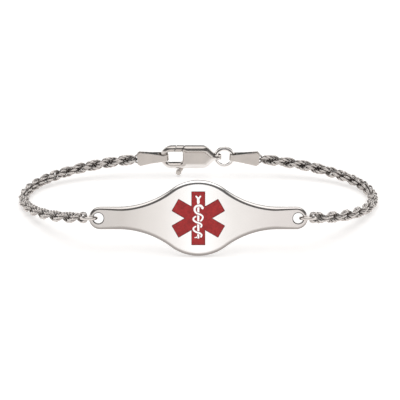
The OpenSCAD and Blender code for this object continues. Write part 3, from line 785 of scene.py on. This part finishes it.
tabGrain = {"grain": 0.06, "rubbed": 16}  # mm, and how often the edges are rubbed over
claspGrain = {
    "body": {"grain": 0.055, "rubbed": 8, "rubbedAfter": 3},
    "lever": {"grain": 0.04, "rubbed": 3, "rubbedAfter": 3},
}
clasp = {
    "at": (-5.42207, 19.36, 4.28711), "high": 4.9, "thick": 1.4,
    "clawEnd": 1.0, "clawBar": 1.2, "mouth": 3.65, "mouthRound": 0.7, "clawTurn": 1.0,
    "eyeOut": 9.25, "neckHigh": 1.05, "neckRound": 0.8, "flankRound": 1.9,
    "edgeWide": 0.8, "edgeFall": 0.45, "rimWide": 0.3, "rimFall": 0.18, "roll": 2.2, "backShare": 0.3,
    "gateSunk": 0.12, "jaw": ((0.33, 1.25), (0.86, 2.45)), "pivot": (3.1, 1.55), "knuckle": 1.05,
    # the gapDark width is how far, in mm, the painted shade beside the splits reaches
    "knuckleTurn": (112, 200), "gapDark": 0.2,
    "knobFrom": -2.35, "knobOver": 0.5, "knobFull": 0.12,  # height, over which height, mm fuller
    "domeFrom": (2.2, 3.0), "domeTo": (8.2, 8.9),  # along the clasp
    "domeAt": (0, 0.15, 0.3, 0.5, 0.75, 1.1, 1.45),  # in from the outline
    "domeSlope": (1.1, 0.95, 0.85, 0.66, 0.4, 0.26, 0),
    "faceFrom": 0.6, "faceOver": 0.3,  # which points count as on a face, by their normal
}


def onClasp(points):  # along the clasp, up, and out to the front
    x, y, z = np.moveaxis(np.asarray(points), 1, 0) - np.array(clasp["at"])[:, None]
    return x, z, -y


def normalsOf(mesh):
    return np.array([v.normal for v in mesh.vertices])


def claspOutline():
    half, neck = clasp["high"] / 2, clasp["neckHigh"] / 2
    r, flank = clasp["neckRound"], clasp["flankRound"]
    flankX = clasp["eyeOut"] - math.tan(math.pi / 8) * (r + flank) - (half - neck)
    return closed(np.vstack([
        [[clasp["eyeOut"] + 1, 0, 1, 0], [clasp["eyeOut"] + 1, neck, 0, 1]],
        arc(clasp["eyeOut"], neck + r, r, -90, -135, True, 5),
        arc(flankX, half - flank, flank, 45, 90, step=5),
        arc(0, 0, half, 90, 180, step=5)]))


def mouthOutline():
    half, r, turn = clasp["high"] / 2, clasp["mouthRound"], clasp["clawTurn"]
    low, high = clasp["clawEnd"] - half, half - clasp["clawBar"]
    end = low + clasp["mouth"]
    return closed(np.vstack([
        [[end, 0, 1, 0]],
        arc(end - r, high - r, r, 0, 90, step=9),
        arc(low + turn, high - turn, turn, 90, 180, step=9),
        [[low, 0, -1, 0]]]))


def pressClasp(points, above=-math.inf, sunk=0.0):
    # rolls the faces down towards the outline and the mouth
    x, y, z = onClasp(points)
    half = clasp["thick"] / 2 - sunk
    front = np.full(len(x), half)
    back = front.copy()
    for ring, wide, fall in ((claspOutline(), clasp["edgeWide"], clasp["edgeFall"]),
                             (mouthOutline(), clasp["rimWide"], clasp["rimFall"])):
        share = 1 - np.clip(toOutline(x, y, ring) / wide, 0, 1)
        rolled = fall * share ** clasp["roll"]
        front = np.minimum(front, half - rolled)
        back = np.minimum(back, half - rolled * clasp["backShare"])
    pressed = np.stack([points[:, 0], clasp["at"][1] - np.clip(z, -back, front), points[:, 2]], 1)
    return np.where((y > above)[:, None], pressed, points)


def domeBody(piece):  # turns the faces' normals outwards near the outline, as on a domed casting
    x, y, _ = onClasp(pointsOf(piece.data) / mm)
    ring, step = claspOutline(), 0.02
    awayX = (toOutline(x + step, y, ring) - toOutline(x - step, y, ring)) / (2 * step)
    awayY = (toOutline(x, y + step, ring) - toOutline(x, y - step, ring)) / (2 * step)
    slope = np.interp(toOutline(x, y, ring), clasp["domeAt"], clasp["domeSlope"])
    normals = normalsOf(piece.data)
    domed = np.stack([-awayX * slope, np.sign(normals[:, 1]), -awayY * slope], 1)
    domed /= np.linalg.norm(domed, axis=1)[:, None]
    share = np.clip((np.abs(normals[:, 1]) - clasp["faceFrom"]) / clasp["faceOver"], 0, 1)
    share *= np.interp(x, clasp["domeFrom"] + clasp["domeTo"], (0, 1, 1, 0))
    mixed = normals + (domed - normals) * share[:, None]
    mixed /= np.linalg.norm(mixed, axis=1)[:, None]
    piece.data.normals_split_custom_set_from_vertices(mixed.tolist())


def markSplitShade(piece):  # where shade is painted: 1 beside the two splits at the gate's ends, 0 away from them
    x, y, _ = onClasp(pointsOf(piece.data) / mm)
    knuckle = arc(*clasp["pivot"], clasp["knuckle"], *clasp["knuckleTurn"], step=11)[:, :2]
    splits = np.array(clasp["jaw"]), np.vstack([knuckle, knuckle[::-1]])
    away = np.minimum(*(toOutline(x, y, line) for line in splits))
    mark(piece, "open", 1 - away / clasp["gapDark"])


def fattenKnob(piece):
    points = pointsOf(piece.data)
    high = onClasp(points / mm)[1]
    share = np.clip((clasp["knobFrom"] - high) / clasp["knobOver"], 0, 1)
    movePoints(piece.data, points + normalsOf(piece.data) * (share * clasp["knobFull"] * mm)[:, None])


tabLeft = castCopy("end_tab_left", "endTabLeft", tabGrain)
tabRight = castCopy("end_tab_right", "endTabRight", tabGrain)
claspBody = castCopy("clasp_body", "claspBody", claspGrain["body"], pressClasp)
claspLever = castCopy("clasp_lever", "claspLever", claspGrain["lever"],
                      lambda points: pressClasp(points, 0, clasp["gateSunk"]))

fattenKnob(claspLever)
domeBody(claspBody)
for piece in (claspBody, claspLever):
    markSplitShade(piece)
for piece in (tabLeft, tabRight, claspBody, claspLever):
    piece.data.materials.append(castSilver)

coils = {
    "at": (5.42, 19.36, 4.287), "wire": 0.43, "taller": 0.08, "mesh": (96, 28),
    "turns": ((1.62, -0.14), (1.99, 0.14)),  # radius, how far back
    # how wide, in mm, and how strong the painted shade along the seam is
    "seam": 0.075, "seamFull": 1.15,
}


def buildSplitRing():
    at, taller = np.array(coils["at"]), coils["taller"]
    ring = wireLoops("splitRing", [
        (at + [0, out, 0], np.array([r, 0, 0]), np.array([0, 0, r + taller]), coils["wire"])
        for r, out in coils["turns"]], *coils["mesh"])
    seam = sum(r for r, _ in coils["turns"]) / 2
    off = pointsOf(ring.data) / mm - at
    # painted shade along the line where the two turns meet
    fromSeam = np.abs(np.hypot(off[:, 0] / seam, off[:, 2] / (seam + taller)) - 1) * seam
    mark(ring, "seam", coils["seamFull"] - fromSeam / coils["seam"])
    ring.data.materials.append(coilSilver)
    return ring


splitRing = buildSplitRing()
print("tabs, split ring and clasp made")

for piece, node, body, slot in (
        (namePlate, "id_plate", "bracelet", "silver"),
        (starEnamel, "star_enamel", "bracelet", "red_enamel"),
        (plateRingLeft, "plate_ring_left", "bracelet", "silver"),
        (plateRingRight, "plate_ring_right", "bracelet", "silver"),
        (ropeLeft, "rope_chain_left", "bracelet", "silver"),
        (ropeRight, "rope_chain_right", "bracelet", "silver"),
        (tabLeft, "end_tab_left", "bracelet", "silver"),
        (tabRight, "end_tab_right", "bracelet", "silver"),
        (splitRing, "split_ring", "bracelet", "silver"),
        (claspBody, "clasp_body", "bracelet", "silver"),
        (claspLever, "clasp_lever", "lever", "silver")):
    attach(piece, body)
    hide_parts(node)


# floor, light and camera

floorLook = {
    "half": 1500, "tone": (0.68, 0.669, 0.661), "glow": 0.548, "glowTone": (1, 0.985, 0.975),
    "roughness": 0.8, "roughnessSpread": 0.1, "grain": 2.5,
}


def floorSurface(tree):
    at = add(tree, "TexCoord").pick("Object")
    grain = add(tree, "TexNoise", {}, {"Vector": at, "Scale": 1 / (floorLook["grain"] * mm), "Detail": 3})
    return {"Roughness": floorLook["roughness"] + floorLook["roughnessSpread"] * grain}


floorFinish = finish("paperFloor", {
    "Base Color": floorLook["tone"] + (1,),
    "Emission Color": floorLook["glowTone"] + (1,),
    "Emission Strength": floorLook["glow"]}, floorSurface)
floorHalf = floorLook["half"] * mm
floorCorners = [(x * floorHalf, y * floorHalf, 0) for x, y in ((-1, -1), (1, -1), (1, 1), (-1, 1))]
floorMesh = bpy.data.meshes.new("floor")
floorMesh.from_pydata(floorCorners, [], [(0, 1, 2, 3)])
floor = newPiece("floor", floorMesh)
floorMesh.materials.append(floorFinish)

studio = {  # brightness from straight down to straight up
    "stops": ((0, 0.72), (0.30, 0.74), (0.365, 0.09), (0.76, 0.09), (0.86, 0.95), (1, 1.0)),
    "strength": 1.8,
}
world = bpy.data.worlds.new("studio")
bpy.context.scene.world = world
tree = newTree(world)
height = axisOf(tree, add(tree, "TexCoord").pick("Generated"), "Z")
shades = add(tree, "ValToRGB", {"stops": studio["stops"]}, {0: height})
light = add(tree, "Background", {}, {"Color": shades, "Strength": studio["strength"]})
add(tree, "OutputWorld", {}, {"Surface": light})

lens = {
    "elevation": 23.7, "distance": 450, "target": (0, 1.5, 3),  # degrees and mm
    "footScale": 5.2, "footAt": (198.3, 257.4),  # pixels in a mm at the plate's foot, and where that is
    "image": 400, "sensor": 36, "clip": (0.01, 20),
}
tip = math.radians(lens["elevation"])
ahead = Vector((0, math.cos(tip), -math.sin(tip)))
above = Vector((0, math.sin(tip), math.cos(tip)))
spot = Vector(lens["target"]) - ahead * lens["distance"]
foot = Vector((0, -plate["depth"] / 2, 0)) - spot
focal = lens["footScale"] * foot.dot(ahead)  # in pixels
centreX, footY = lens["footAt"]
centreY = footY + focal * foot.dot(above) / foot.dot(ahead)
camera = bpy.data.cameras.new("camera")
eye = bpy.data.objects.new("camera", camera)
bpy.context.scene.collection.objects.link(eye)
eye.location = spot * mm
eye.rotation_euler = ahead.to_track_quat("-Z", "Y").to_euler()
camera.sensor_width = lens["sensor"]
camera.lens = focal * lens["sensor"] / lens["image"]
camera.shift_x = 0.5 - centreX / lens["image"]
camera.shift_y = centreY / lens["image"] - 0.5
camera.clip_start, camera.clip_end = lens["clip"]
bpy.context.scene.camera = eye
bpy.context.scene.view_settings.view_transform = "Standard"
print("floor, light and camera set")
